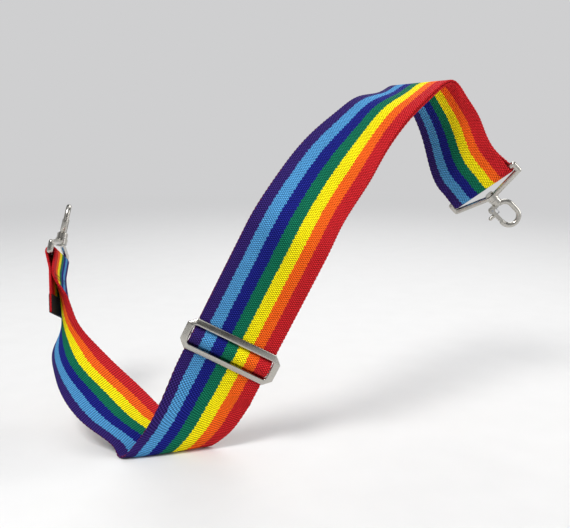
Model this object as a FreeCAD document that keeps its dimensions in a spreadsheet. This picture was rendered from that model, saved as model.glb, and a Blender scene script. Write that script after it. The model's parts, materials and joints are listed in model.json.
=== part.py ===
import FreeCAD, Part
import Sketcher
import math
import os
import re

# Adjustable shoulder strap of striped woven webbing with a snap hook at each end and one
# slider. It hangs as it does over a bag: the webbing runs down from the left hook, turns back
# on itself on the ground, climbs the front through the slider, crosses the top and comes down
# behind to the right hook. From the slider to the right hook the webbing is double, because
# it goes round that hook's bar and comes back to be sewn round the slider's centre bar.
#
# Frame: millimetres, +Z up, +X to the right, +Y away from the front. The origin is the centre
# of the left hook's eye.

Vector = FreeCAD.Vector
doc = FreeCAD.newDocument("shoulder_strap")
sheet = doc.addObject("Spreadsheet::Sheet", "sizes")

SIZES = [
    # webbing
    ("webbing_width", 50.0),
    ("webbing_thickness", 1.4),
    ("layer_gap", 0.3),
    ("loop_length", 13.0),
    ("tail_length", 26.0),
    ("binding_length", 12.0),
    ("binding_thickness", 0.25),
    ("merge_radius", 12.0),
    # base loop of a hook, which the webbing goes round
    ("webbing_side_play", 1.0),
    ("bar_clearance", 0.3),
    ("loop_wire", 3.8),
    ("loop_post", 5.2),
    ("loop_height", 9.0),
    ("boss_diameter", 8.0),
    ("boss_height", 3.6),
    # swivel rivet
    ("rivet_diameter", 3.2),
    ("rivet_head_diameter", 5.6),
    ("rivet_head_height", 1.2),
    ("rivet_seat", 2.2),
    ("running_clearance", 0.05),
    ("swivel_gap", 0.3),
    # claw
    ("collar_diameter", 7.0),
    ("collar_height", 3.4),
    ("collar_taper", 1.4),
    ("claw_wire", 3.6),
    ("eye_width", 9.0),
    ("eye_straight", 5.0),
    ("nose_length", 1.0),
    ("ear_thickness", 1.8),
    ("ear_radius", 2.2),
    ("ear_arm_rise", 0.9),
    # gate with its pin and spring
    ("gate_thickness", 2.6),
    ("gate_width", 4.4),
    ("gate_gap", 0.4),
    ("cheek_radius", 1.9),
    ("cheek_gap", 0.15),
    ("pivot_rise", 1.2),
    ("pin_diameter", 1.6),
    ("pin_overhang", 0.3),
    ("knob_length", 3.0),
    ("knob_diameter", 2.6),
    ("spring_thickness", 0.3),
    ("spring_foot", 2.0),
    ("spring_height", 3.5),
    ("spring_clearance", 0.8),
    # slider
    ("window_play", 0.5),
    ("slider_height", 20.0),
    ("slider_thickness", 2.6),
    ("slider_end", 4.5),
    ("slider_bar", 4.0),
    ("slider_corner", 4.5),
    ("slider_inner_corner", 1.6),
    ("slider_bevel", 0.7),
    ("centre_bar_diameter", 2.0),
    ("centre_bar_inset", 1.3),
    ("centre_bar_seat", 2.0),
    # webbing at the slider
    ("sewn_gap", 0.15),
    ("wave_reach", 15.0),
    ("drawn_length", 37.0),
    ("sewn_end_length", 34.0),
    ("straight_below", 20.0),
    ("straight_above", 72.0),
    ("return_bend", 20.0),
    ("return_bend_inset", 6.0),
]
for row, (alias, value) in enumerate(SIZES, start=1):
    sheet.set(f"A{row}", alias)
    sheet.set(f"B{row}", str(value))
    sheet.setAlias(f"B{row}", alias)
doc.recompute()
NAMES = {alias for alias, value in SIZES}
size = {alias: float(sheet.get(alias)) for alias in NAMES}

# The webbing's free stretches, as it lies at rest: each station is a point on the red edge,
# one on the middle line and one on the purple edge, for webbing of the draped width.
LOWER_ARM = [
    [(7, -36, -42), (-0.5, -20, -49), (-2.7, 3, -56)],
    [(14.8, -40, -59), (3.5, -31, -63), (-1.5, -9, -70)],
    [(27.5, -44, -74), (9.5, -45, -74), (-4.5, -28, -82)],
    [(40.5, -48, -86), (18.5, -58, -84), (0.5, -46, -90)],
    [(59.5, -54, -102), (34.5, -68, -97), (9.5, -63, -100)],
    [(81.5, -66, -117), (54.5, -78, -112), (29.5, -82, -113)],
    [(97.5, -74, -124), (71.5, -84, -123), (47.5, -91, -123)],
    [(102, -79, -126.2), (75, -88, -126.2), (50, -94, -126.2)],
    [(108.5, -81, -122), (78.5, -91, -124.5), (53.5, -97, -125)],
    [(118.2, -80.5, -113), (88.2, -88.5, -115), (60, -94, -119)],
    [(125.8, -79, -102), (96, -84, -103), (70.5, -88, -104)],
]
UPPER_ARM = [
    [(181.5, -69, 7), (161.5, -65.5, 20), (141.5, -62, 33)],
    [(198.5, -55, 32), (180.5, -43.5, 44.5), (162.5, -32, 57)],
    [(209.5, -44, 50), (195.5, -27.5, 61), (181.5, -11, 72)],
    [(224, -35, 68.5), (210, -15.5, 75), (196.5, 4, 81)],
    [(238, -26, 81.5), (224.5, -4.5, 83), (211.5, 17, 84)],
    [(256, -7, 90.5), (240.5, 13, 89), (225.5, 33, 87.5)],
    [(264.5, -6, 81), (251, 14.5, 76.5), (237.5, 35, 72)],
    [(274, -5.5, 67), (260.5, 13, 57), (247, 31.5, 47)],
]
DRAPED_WIDTH = 50.0
STATION_SPACING = 6.0


def expression(text):
    """The sheet expression for a formula written with the bare size names."""
    return re.sub(r"[a-z_]+", lambda word: ("sizes." if word[0] in NAMES else "") + word[0], text)


def bind(target, **formulas):
    """Ties each property to its formula. An underscore in a property's name stands for a dot."""
    for name, formula in formulas.items():
        target.setExpression(name.replace("_", "."), expression(formula))


def primitive(kind, name, at=("0", "0", "0"), turn=None, angle=None, **formulas):
    """A Part primitive with bound sizes, turned about its own origin and moved to at."""
    target = doc.addObject("Part::" + kind, name)
    if turn:
        target.Placement = FreeCAD.Placement(Vector(), turn)
    if angle:
        bind(target, Placement_Rotation_Angle=angle)
    bind(target, Placement_Base_x=at[0], Placement_Base_y=at[1], Placement_Base_z=at[2])
    bind(target, **formulas)
    return target


def fuse(name, pieces):
    target = doc.addObject("Part::MultiFuse", name)
    target.Shapes = pieces
    return target


def group(name, pieces):
    """Holds pieces as they are, so that the whole can be placed without moving them in it."""
    target = doc.addObject("Part::Compound", name)
    target.Links = pieces
    return target


def cut(name, base, tool):
    target = doc.addObject("Part::Cut", name)
    target.Base = base
    target.Tool = tool
    return target


def frame_at(origin, along_width, along_travel, exact="XZY"):
    """A placement with X along the webbing's width, to the red edge, and Z along the webbing.

    The first axis named in exact is kept as given, and the next one is squared to it.
    """
    turn = FreeCAD.Rotation(Vector(*along_width), Vector(), Vector(*along_travel), exact)
    return FreeCAD.Placement(Vector(*origin), turn)


subparts = []


def finish(target, node, placement):
    """Gives a sub-part its node name and its place."""
    target.Label = node
    target.Placement = placement
    subparts.append(target)


# Heights above the centre of the bar, in a hook's own frame. The boss stands on the loop.
BOSS_TOP = "(loop_height + boss_height)"
COLLAR_BASE = f"({BOSS_TOP} + swivel_gap)"
COLLAR_TOP = f"({COLLAR_BASE} + collar_height)"
CLAW_RADIUS = "(eye_width / 2 + claw_wire / 2)"
CLAW_LOW = f"({COLLAR_TOP} + claw_wire * 0.3)"
CLAW_SIDE = f"({CLAW_LOW} + {CLAW_RADIUS})"
CLAW_TOP = f"({CLAW_SIDE} + eye_straight)"
NOSE_END = f"({CLAW_TOP} - nose_length)"
PIVOT = f"({COLLAR_TOP} + pivot_rise)"
GATE_TOP = f"({NOSE_END} - gate_gap)"

# Turns that lay a primitive's own Z axis along the width, and start a torus where it is needed.
ALONG_WIDTH = FreeCAD.Rotation(Vector(0, 1, 0), 90)
IN_PLANE = FreeCAD.Rotation(Vector(0, 1, 0), 1)
OUTWARD = FreeCAD.Rotation(Vector(1, 0, 0), -90)
FROM_BELOW = FreeCAD.Rotation(Vector(0, 0, -1), Vector(0, -1, 0), Vector(-1, 0, 0), "XYZ")
FROM_ARM = FreeCAD.Rotation(Vector(0, -1, 0), Vector(0, 0, 1), Vector(-1, 0, 0), "XYZ")


def base_loop(tag):
    """A five-sided loop of round wire: the webbing's bar, two short posts, two sloping legs and
    a bored boss. The posts keep the legs clear of the webbing that wraps the bar."""
    half = "(webbing_width / 2 + webbing_side_play + loop_wire / 2)"
    rise = "(loop_height + boss_height / 2 - loop_post)"
    pieces = [
        primitive("Cylinder", tag + "_bar", (f"-{half}", "0", "0"), ALONG_WIDTH,
                  Radius="loop_wire / 2", Height=f"2 * {half}"),
        primitive("Cylinder", tag + "_boss", ("0", "0", "loop_height"),
                  Radius="boss_diameter / 2", Height="boss_height"),
    ]
    for side, sign in (("red", ""), ("purple", "-")):
        corner = (f"{sign}{half}", "0", "0")
        shoulder = (f"{sign}{half}", "0", "loop_post")
        lean = f"atan({half} / {rise})" if sign else f"-atan({half} / {rise})"
        pieces += [
            primitive("Sphere", f"{tag}_{side}_corner", corner, Radius="loop_wire / 2"),
            primitive("Cylinder", f"{tag}_{side}_post", corner,
                      Radius="loop_wire / 2", Height="loop_post"),
            primitive("Sphere", f"{tag}_{side}_shoulder", shoulder, Radius="loop_wire / 2"),
            primitive("Cylinder", f"{tag}_{side}_leg", shoulder, IN_PLANE, lean,
                      Radius="loop_wire / 2", Height=f"sqrt({half} ^ 2 + {rise} ^ 2)"),
        ]
    bore = primitive("Cylinder", tag + "_bore", ("0", "0", "loop_height - loop_wire"),
                     Radius="rivet_diameter / 2 + running_clearance",
                     Height="boss_height + 2 * loop_wire")
    well = primitive("Cylinder", tag + "_well", ("0", "0", "loop_height - loop_wire"),
                     Radius="rivet_head_diameter / 2 + bar_clearance", Height="loop_wire")
    body = fuse(tag + "_loop_wire", pieces)
    return cut(tag + "_loop_bored", body, fuse(tag + "_bores", [bore, well]))


def swivel_rivet(tag):
    """A headed pin that turns in the boss and is held in the claw's collar."""
    head = primitive("Cylinder", tag + "_head",
                     ("0", "0", "loop_height - rivet_head_height - swivel_gap"),
                     Radius="rivet_head_diameter / 2", Height="rivet_head_height")
    shank = primitive("Cylinder", tag + "_shank",
                      ("0", "0", "loop_height - rivet_head_height - swivel_gap"),
                      Radius="rivet_diameter / 2",
                      Height="rivet_head_height + boss_height + 2 * swivel_gap + rivet_seat")
    return fuse(tag + "_rivet", [head, shank])


def claw(tag):
    """The collar, the curved arm up one side and over the eye, and the ear that takes the gate."""
    pieces = [
        primitive("Cylinder", tag + "_collar", ("0", "0", COLLAR_BASE),
                  Radius="collar_diameter / 2", Height="collar_height"),
        primitive("Cone", tag + "_taper", ("0", "0", COLLAR_TOP), Radius1="collar_diameter / 2",
                  Radius2="claw_wire / 2", Height="collar_taper"),
        primitive("Torus", tag + "_heel", ("0", "0", CLAW_SIDE), FROM_BELOW,
                  Radius1=CLAW_RADIUS, Radius2="claw_wire / 2", Angle3="90"),
        primitive("Cylinder", tag + "_arm", ("0", f"-{CLAW_RADIUS}", CLAW_SIDE),
                  Radius="claw_wire / 2", Height="eye_straight"),
        primitive("Torus", tag + "_crown", ("0", "0", CLAW_TOP), FROM_ARM,
                  Radius1=CLAW_RADIUS, Radius2="claw_wire / 2", Angle3="180"),
        primitive("Cylinder", tag + "_nose", ("0", CLAW_RADIUS, NOSE_END),
                  Radius="claw_wire / 2", Height="nose_length"),
        primitive("Cylinder", tag + "_ear_eye", ("-ear_thickness / 2", CLAW_RADIUS, PIVOT),
                  ALONG_WIDTH, Radius="ear_radius", Height="ear_thickness"),
        primitive("Box", tag + "_ear_arm", ("-ear_thickness / 2", "0", f"{PIVOT} - ear_radius"),
                  Length="ear_thickness", Width=CLAW_RADIUS, Height="ear_radius + ear_arm_rise"),
    ]
    seat = primitive("Cylinder", tag + "_rivet_seat", ("0", "0", COLLAR_BASE),
                     Radius="rivet_diameter / 2", Height="rivet_seat")
    bore = primitive("Cylinder", tag + "_pin_bore", ("-ear_thickness", CLAW_RADIUS, PIVOT),
                     ALONG_WIDTH, Radius="pin_diameter / 2", Height="2 * ear_thickness")
    return cut(tag + "_claw_bored", fuse(tag + "_claw_body", pieces),
               fuse(tag + "_claw_bores", [seat, bore]))


def gate(tag):
    """The sprung lever: two cheeks on the pin, a bar up to the nose and a round thumb knob."""
    slot_top = f"({PIVOT} + ear_radius + cheek_gap)"
    knob_height = f"({slot_top} + knob_diameter / 2)"
    pieces = [
        primitive("Cylinder", tag + "_cheeks", ("-gate_width / 2", CLAW_RADIUS, PIVOT),
                  ALONG_WIDTH, Radius="cheek_radius", Height="gate_width"),
        primitive("Box", tag + "_lever",
                  ("-gate_width / 2", f"{CLAW_RADIUS} - gate_thickness / 2", PIVOT),
                  Length="gate_width", Width="gate_thickness", Height=f"{GATE_TOP} - {PIVOT}"),
        primitive("Cylinder", tag + "_knob", ("0", CLAW_RADIUS, knob_height), OUTWARD,
                  Radius="knob_diameter / 2", Height="gate_thickness / 2 + knob_length"),
        primitive("Sphere", tag + "_knob_end",
                  ("0", f"{CLAW_RADIUS} + gate_thickness / 2 + knob_length", knob_height),
                  Radius="knob_diameter / 2"),
    ]
    slot = primitive("Box", tag + "_slot",
                     ("-ear_thickness / 2 - cheek_gap", "0", f"{PIVOT} - 2 * ear_radius"),
                     Length="ear_thickness + 2 * cheek_gap", Width=f"2 * {CLAW_RADIUS}",
                     Height=f"{slot_top} - {PIVOT} + 2 * ear_radius")
    bore = primitive("Cylinder", tag + "_gate_bore", ("-gate_width", CLAW_RADIUS, PIVOT),
                     ALONG_WIDTH, Radius="pin_diameter / 2 + running_clearance",
                     Height="2 * gate_width")
    return cut(tag + "_gate_bored", fuse(tag + "_gate_body", pieces),
               fuse(tag + "_gate_cuts", [slot, bore]))


def gate_pin(tag):
    """A plain pin through the ear, on which the gate turns."""
    pin = primitive("Cylinder", tag + "_pin",
                    ("-gate_width / 2 - pin_overhang", CLAW_RADIUS, PIVOT), ALONG_WIDTH,
                    Radius="pin_diameter / 2", Height="gate_width + 2 * pin_overhang")
    return group(tag + "_placed_pin", [pin])


def gate_spring(tag):
    """A bent leaf: a foot on the ear's arm, a riser behind the ear and a tip at the gate."""
    back = f"{CLAW_RADIUS} - ear_radius - spring_clearance"
    base = f"{PIVOT} + ear_arm_rise"
    pieces = [
        primitive("Box", tag + "_leaf_foot", ("-ear_thickness / 2", f"{back} - spring_foot", base),
                  Length="ear_thickness", Width="spring_foot", Height="spring_thickness"),
        primitive("Box", tag + "_leaf_riser",
                  ("-ear_thickness / 2", f"{back} - spring_thickness", base),
                  Length="ear_thickness", Width="spring_thickness", Height="spring_height"),
        primitive("Box", tag + "_leaf_tip",
                  ("-ear_thickness / 2", f"{back} - spring_thickness",
                   f"{base} + spring_height - spring_thickness"),
                  Length="ear_thickness", Height="spring_thickness",
                  Width="ear_radius + spring_clearance + spring_thickness - gate_thickness / 2"
                        " - cheek_gap"),
    ]
    return fuse(tag + "_spring", pieces)


def rectangle(body, name, width, height):
    """A sketch of a rectangle about the body's origin, on its XZ plane."""
    sketch = body.newObject("Sketcher::SketchObject", name)
    plane = [part for part in body.Origin.OriginFeatures if part.Role == "XZ_Plane"][0]
    sketch.AttachmentSupport = [(plane, "")]
    sketch.MapMode = "FlatFace"
    # It is drawn as any square, and its constraints then give it its size.
    half = 9.0
    corners = [Vector(x * half, y * half, 0) for x, y in ((-1, -1), (1, -1), (1, 1), (-1, 1))]
    for number in range(4):
        sketch.addGeometry(Part.LineSegment(corners[number], corners[(number + 1) % 4]))
    for number in range(4):
        sketch.addConstraint(
            Sketcher.Constraint("Coincident", number, 2, (number + 1) % 4, 1))
    for number in (0, 2):
        sketch.addConstraint(Sketcher.Constraint("Horizontal", number))
        sketch.addConstraint(Sketcher.Constraint("Vertical", number + 1))
    sketch.addConstraint(Sketcher.Constraint("Symmetric", 0, 1, 2, 1, -1, 1))
    for label, line, axis, formula in (
        ("width", 0, "DistanceX", width),
        ("height", 1, "DistanceY", height),
    ):
        index = sketch.addConstraint(Sketcher.Constraint(axis, line, 1, line, 2, 2 * half))
        sketch.renameConstraint(index, label)
        sketch.setExpression(f"Constraints.{label}", expression(formula))
    return sketch


def dress(body, kind, name, test, formula):
    """A fillet or chamfer on those edges of the body's last feature that pass test."""
    base = body.Tip
    names = [f"Edge{n}" for n, edge in enumerate(base.Shape.Edges, start=1) if test(edge)]
    feature = body.newObject("PartDesign::" + kind, name)
    feature.Base = (base, names)
    bind(feature, **{"Radius" if kind == "Fillet" else "Size": formula})
    doc.recompute()


def through_thickness(edge):
    return abs(edge.tangentAt(edge.FirstParameter).y) > 0.9


WINDOW_LENGTH = "(webbing_width + 2 * window_play)"


def slider_frame():
    """A flat bevelled plate with cut corners and one window, bored for the centre bar."""
    body = doc.addObject("PartDesign::Body", "slider_plate")
    plate = body.newObject("PartDesign::Pad", "slider_pad")
    plate.Profile = rectangle(body, "slider_outline", f"{WINDOW_LENGTH} + 2 * slider_end",
                              "slider_height")
    bind(plate, Length="slider_thickness")
    doc.recompute()
    dress(body, "Chamfer", "slider_cut_corners", through_thickness, "slider_corner")
    window = body.newObject("PartDesign::Pocket", "slider_window")
    window.Profile = rectangle(body, "slider_window_outline", WINDOW_LENGTH,
                               "slider_height - 2 * slider_bar")
    window.SideType = "Symmetric"
    bind(window, Length="4 * slider_thickness")
    doc.recompute()
    half_window = size["webbing_width"] / 2 + size["window_play"]
    dress(body, "Fillet", "slider_window_corners",
          lambda edge: through_thickness(edge)
          and abs(edge.CenterOfMass.x) < half_window + 0.1
          and abs(edge.CenterOfMass.z) < size["slider_height"] / 2 - size["slider_bar"] + 0.1,
          "slider_inner_corner")
    dress(body, "Chamfer", "slider_front_bevel",
          lambda edge: edge.CenterOfMass.y < 0.01 - size["slider_thickness"], "slider_bevel")
    bar = centre_bar("slider_bar_bore")
    return cut("slider_bored", body, bar)


def centre_bar(name):
    """The round bar under the webbing, let into the ends of the slider's window."""
    reach = f"({WINDOW_LENGTH} / 2 + centre_bar_seat)"
    return primitive("Cylinder", name, (f"-{reach}", "-centre_bar_inset", "0"), ALONG_WIDTH,
                     Radius="centre_bar_diameter / 2", Height=f"2 * {reach}")


def belt_side(wraps, offset):
    """The edges of a belt's one surface, which lies offset to the left of its middle line.

    Each wrap is (y, z, left): a centre, and how far to its left the middle line passes. A wrap
    with left 0 is an end of the belt.
    """
    headings = []
    for (y1, z1, left1), (y2, z2, left2) in zip(wraps, wraps[1:]):
        distance = math.hypot(y2 - y1, z2 - z1)
        headings.append(math.atan2(z2 - z1, y2 - y1) - math.asin((left1 - left2) / distance))

    def point(wrap, heading):
        reach = wrap[2] + offset
        y = wrap[0] - reach * math.sin(heading)
        z = wrap[1] + reach * math.cos(heading)
        return Vector(-size["webbing_width"] / 2, y, z)

    edges = []
    for number, heading in enumerate(headings):
        start = point(wraps[number], heading)
        end = point(wraps[number + 1], heading)
        edges.append(Part.LineSegment(start, end).toShape())
        if number + 1 < len(headings):
            wrap = wraps[number + 1]
            turn = headings[number + 1] - heading
            if wrap[2] > 0 and turn > 0:
                turn -= 2 * math.pi
            if wrap[2] < 0 and turn < 0:
                turn += 2 * math.pi
            middle = point(wrap, heading + turn / 2)
            after = point(wrap, heading + turn)
            edges.append(Part.Arc(end, middle, after).toShape())
    return edges


def belt(name, wraps):
    """Webbing that is straight across its width, wrapped round bars in the YZ plane."""
    half = size["webbing_thickness"] / 2
    left = belt_side(wraps, half)
    right = belt_side(wraps, -half)
    caps = [
        Part.LineSegment(left[0].firstVertex().Point, right[0].firstVertex().Point).toShape(),
        Part.LineSegment(left[-1].lastVertex().Point, right[-1].lastVertex().Point).toShape(),
    ]
    outline = Part.Wire(Part.__sortEdges__(left + right + caps))
    target = doc.addObject("Part::Feature", name)
    target.Shape = Part.Face(outline).extrude(Vector(size["webbing_width"], 0, 0))
    return target


def across(placement, y, z):
    """A station straight across the webbing at (y, z) of a frame."""
    half = size["webbing_width"] / 2
    return [placement.multVec(Vector(x, y, z)) for x in (half, 0, -half)]


def free_station(points):
    """A hand-placed station. A wider or narrower webbing grows about its middle line."""
    red, middle, purple = (Vector(*point) for point in points)
    scale = size["webbing_width"] / DRAPED_WIDTH
    return [middle + (red - middle) * scale, middle, middle + (purple - middle) * scale]


def ribbon(name, stations, start_travel, end_travel, shift=0.0, before=(), after=()):
    """Webbing through its stations, all of it moved along the surface normal by shift.

    The curves along the red edge, the middle line and the purple edge share one parameter, and
    the loft takes a cross-section every few millimetres along them. Before and after are
    stations of straight webbing that the curve runs on from, or ends in.
    """
    half = size["webbing_thickness"] / 2
    knots = [0.0]
    for one, other in zip(stations, stations[1:]):
        knots.append(knots[-1] + (other[1] - one[1]).Length ** 0.75)
    lines = []
    for points in zip(*stations):
        line = Part.BSplineCurve()
        line.interpolate(Points=list(points), Parameters=knots,
                         InitialTangent=start_travel, FinalTangent=end_travel)
        lines.append(line)

    places = []
    for number, (one, other) in enumerate(zip(stations, stations[1:])):
        steps = max(1, round((other[1] - one[1]).Length / STATION_SPACING))
        span = knots[number + 1] - knots[number]
        places += [knots[number] + span * step / steps for step in range(steps)]
    places.append(knots[-1])

    rows = [(station, [start_travel] * 3) for station in before]
    for at in places:
        rows.append(([line.value(at) for line in lines], [line.tangent(at)[0] for line in lines]))
    rows += [(station, [end_travel] * 3) for station in after]

    sections = []
    for number, ((red, middle, purple), travel) in enumerate(rows):
        widths = (red * 3 - middle * 4 + purple, red - purple, middle * 4 - red - purple * 3)
        normals = [forward.cross(width).normalize() for forward, width in zip(travel, widths)]
        if number in (0, len(rows) - 1):
            normals = [normals[1]] * 3
        low, high = Part.BSplineCurve(), Part.BSplineCurve()
        points = list(zip((red, middle, purple), normals))
        low.interpolate([p + n * (shift - half) for p, n in points])
        high.interpolate([p + n * (shift + half) for p, n in points][::-1])
        out = Part.LineSegment(low.EndPoint, high.StartPoint)
        back = Part.LineSegment(high.EndPoint, low.StartPoint)
        sections.append(Part.Wire([curve.toShape() for curve in (low, out, high, back)]))
    target = doc.addObject("Part::Feature", name)
    target.Shape = Part.makeLoft(sections, True, True)
    return target


# The frames that everything hangs in.
half_layer = (size["webbing_thickness"] + size["layer_gap"]) / 2
hook_reach = (
    size["loop_height"] + size["boss_height"] + size["swivel_gap"] + size["collar_height"]
    + size["claw_wire"] * 0.3 + (size["eye_width"] + size["claw_wire"] + size["eye_straight"]) / 2
)
LEFT_BAR = Vector(0.12, -0.933, 0.339)
RIGHT_BAR = Vector(0.566, -0.6, 0.566)
RIGHT_PULL = Vector(0.707, 0, -0.707)
RIGHT_MERGE = Vector(271.5, 8, 31)
SLIDER_CENTRE = Vector(115.5, -80.2, -67)
left_hook = frame_at(Vector(), LEFT_BAR, (0.169, 0.337, 0.926))
left_pull = left_hook.Rotation.multVec(Vector(0, 0, 1))
left_hook.Base = left_pull * -hook_reach
left_claw = frame_at(left_hook.Base, (0.936, 0.237, -0.261), left_pull, "ZXY")
left_webbing = frame_at(left_hook.Base, LEFT_BAR, (-0.069, 0.333, 0.94))
right_hook = frame_at(RIGHT_MERGE + RIGHT_PULL * size["loop_length"], RIGHT_BAR, RIGHT_PULL)
right_claw = frame_at(right_hook.Base, (0, -1, 0), RIGHT_PULL, "ZXY")
slider = frame_at(SLIDER_CENTRE, (0.893, 0, -0.45), (0.45, 0, 0.893))
here = FreeCAD.Placement()

for tag, place, claw_place in (
    ("hook_a", left_hook, left_claw),
    ("hook_b", right_hook, right_claw),
):
    finish(base_loop(tag), f"{tag}_base_loop", place)
    for make, piece in (
        (swivel_rivet, "swivel_rivet"),
        (claw, "claw"),
        (gate, "gate"),
        (gate_pin, "gate_pin"),
        (gate_spring, "gate_spring"),
    ):
        finish(make(tag), f"{tag}_{piece}", claw_place)
finish(slider_frame(), "slider_frame", slider)
finish(group("slider_placed_bar", [centre_bar("slider_bar")]), "slider_centre_bar", slider)

# Webbing round the two hooks' bars. The legs run in from the merge line, where the layers lie
# one gap apart; the left one's free leg goes on as the sewn tail.
wrap_radius = (size["loop_wire"] + size["webbing_thickness"]) / 2 + size["bar_clearance"]
merge = (half_layer + size["merge_radius"], 1.0 - size["loop_length"], -size["merge_radius"])
loop_wraps = [
    (-half_layer, -size["loop_length"], 0.0),
    (-merge[0], merge[1], merge[2]),
    (0.0, 0.0, wrap_radius),
    merge,
    (half_layer, -size["loop_length"], 0.0),
]
tail_wraps = [(-half_layer, -size["loop_length"] - size["tail_length"], 0.0)] + loop_wraps[1:]
finish(belt("tail_and_loop", tail_wraps), "webbing_hook_a_loop", left_webbing)
finish(belt("turn_loop", loop_wraps), "webbing_hook_b_loop", right_hook)

# A tape folded over the cut end of the tail.
tape = "(webbing_thickness / 2 + binding_thickness)"
tape_middle = "(-webbing_thickness / 2 - layer_gap / 2)"
tail_end = "(-loop_length - tail_length)"
outer = primitive("Box", "binding_outer",
                  ("-webbing_width / 2", f"{tape_middle} - {tape}",
                   f"{tail_end} - binding_thickness"),
                  Length="webbing_width", Width=f"2 * {tape}", Height="binding_length")
inner = primitive("Box", "binding_inner",
                  ("-webbing_width", f"{tape_middle} - webbing_thickness / 2", tail_end),
                  Length="2 * webbing_width", Width="webbing_thickness",
                  Height="binding_length")
finish(cut("binding", outer, inner), "tail_end_binding", left_webbing)

# Webbing at the slider: the strap lies behind the plate and rises through the window over the
# centre bar, on top of the loop that is sewn round that bar.
main = size["layer_gap"] + size["webbing_thickness"] / 2
second = main + size["webbing_thickness"] + size["layer_gap"]
third = second + size["webbing_thickness"] + size["layer_gap"]
sewn_radius = (size["centre_bar_diameter"] + size["webbing_thickness"]) / 2 + size["sewn_gap"]
wave_radius = sewn_radius + size["webbing_thickness"] + size["sewn_gap"]
edge = size["slider_height"] / 2 - size["slider_bar"]
inset = -size["centre_bar_inset"]
reach = size["wave_reach"]
finish(belt("strap_over_bar", [
    (main, -reach, 0.0),
    (0.0, -edge, -main),
    (inset, 0.0, wave_radius),
    (0.0, edge, -main),
    (main, reach, 0.0),
]), "webbing_over_centre_bar", slider)
finish(belt("sewn_loop", [
    (third, size["sewn_end_length"], 0.0),
    (0.0, edge, third),
    (inset, 0.0, sewn_radius),
    (0.0, edge, -second),
    (second, size["sewn_end_length"], 0.0),
]), "webbing_sewn_end", slider)
drawn = reach + size["drawn_length"]
finish(belt("drawn_straight", [(main, reach, 0.0), (main, drawn, 0.0)]),
       "webbing_front_lower", slider)
bend = size["return_bend"]
finish(belt("return_straight", [
    (third, size["sewn_end_length"], 0.0),
    (third - bend, size["sewn_end_length"] + size["return_bend_inset"], -bend),
    (second + bend, size["straight_above"] - size["return_bend_inset"], bend),
    (second, size["straight_above"] - size["layer_gap"], 0.0),
]), "webbing_return_lower", slider)

# The long free stretches. Travel runs from the left hook over the slider to the right hook.
lower = (
    [across(left_webbing, half_layer, -size["loop_length"])]
    + [free_station(points) for points in LOWER_ARM]
    + [across(slider, main, -size["straight_below"])]
)
left_travel = left_webbing.Rotation.multVec(Vector(0, 0, -1))
slider_travel = slider.Rotation.multVec(Vector(0, 0, 1))
finish(ribbon("lower_arm", lower, left_travel, slider_travel,
              after=[across(slider, main, -reach)]), "webbing_lower_arm", here)
upper = (
    [across(slider, main, size["straight_above"])]
    + [free_station(points) for points in UPPER_ARM]
    + [across(right_hook, -half_layer, -size["loop_length"])]
)
finish(ribbon("front_layer", upper, slider_travel, RIGHT_PULL,
              before=[across(slider, main, drawn)]), "webbing_front_layer", here)
finish(ribbon("return_layer", upper, slider_travel, RIGHT_PULL, 2 * half_layer),
       "webbing_return_upper", here)

doc.recompute()
for target in doc.Objects:
    if "Invalid" in target.State or "Error" in target.State:
        raise RuntimeError(f"{target.Label} failed: {target.State}")
os.makedirs("parts", exist_ok=True)
for target in subparts:
    shape = target.Shape
    if shape.isNull() or not shape.isValid() or shape.Volume <= 0:
        raise RuntimeError(f"{target.Label} is not a valid solid")
    print(f"{target.Label:26s} {len(shape.Solids)} solid {shape.Volume:9.1f} mm3")
    shape.exportStep(f"parts/{target.Label}.step")
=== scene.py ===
import json
import math

import bpy
import numpy as np
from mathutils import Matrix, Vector


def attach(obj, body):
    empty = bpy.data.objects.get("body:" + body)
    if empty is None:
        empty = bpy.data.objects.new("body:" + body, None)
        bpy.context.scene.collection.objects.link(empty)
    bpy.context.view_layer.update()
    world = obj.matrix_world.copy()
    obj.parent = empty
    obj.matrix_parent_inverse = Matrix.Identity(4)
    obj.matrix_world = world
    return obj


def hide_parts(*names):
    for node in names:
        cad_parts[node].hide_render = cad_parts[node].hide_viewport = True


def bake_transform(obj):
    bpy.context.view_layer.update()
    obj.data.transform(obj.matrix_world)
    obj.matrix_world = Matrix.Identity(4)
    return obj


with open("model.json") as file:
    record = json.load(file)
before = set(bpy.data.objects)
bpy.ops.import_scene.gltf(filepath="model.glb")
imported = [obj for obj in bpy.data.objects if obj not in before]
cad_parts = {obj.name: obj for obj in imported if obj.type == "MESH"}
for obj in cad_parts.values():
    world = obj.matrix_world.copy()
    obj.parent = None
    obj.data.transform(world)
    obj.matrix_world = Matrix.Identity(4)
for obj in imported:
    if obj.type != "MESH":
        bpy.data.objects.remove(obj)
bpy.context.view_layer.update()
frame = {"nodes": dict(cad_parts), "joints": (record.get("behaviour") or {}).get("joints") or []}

# Sizes in millimetres, as the solids have them.
WIDTH = 50.0
THICK = 1.4
GAP = 0.3
HALF_LAYER = (THICK + GAP) / 2
LOOP_LENGTH = 13.0
TAIL_LENGTH = 26.0
TAIL_END = -LOOP_LENGTH - TAIL_LENGTH
MERGE_RADIUS = 12.0
BAR_WRAP = 2.9
TAPE_THICK = 0.25
TAPE_REACH = 11.6
TAPE_INSET = 0.5
MAIN = GAP + THICK / 2
SECOND = MAIN + THICK + GAP
THIRD = SECOND + THICK + GAP
SEWN_WRAP = 1.85
WAVE_WRAP = 3.4
WINDOW_EDGE = 6.0
BAR_INSET = -1.3
WAVE_REACH = 15.0
SEWN_END = 34.0
BEND = 20.0
BEND_INSET = 6.0
STRAIGHT_BELOW = 20.0
STRAIGHT_ABOVE = 72.0
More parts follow.
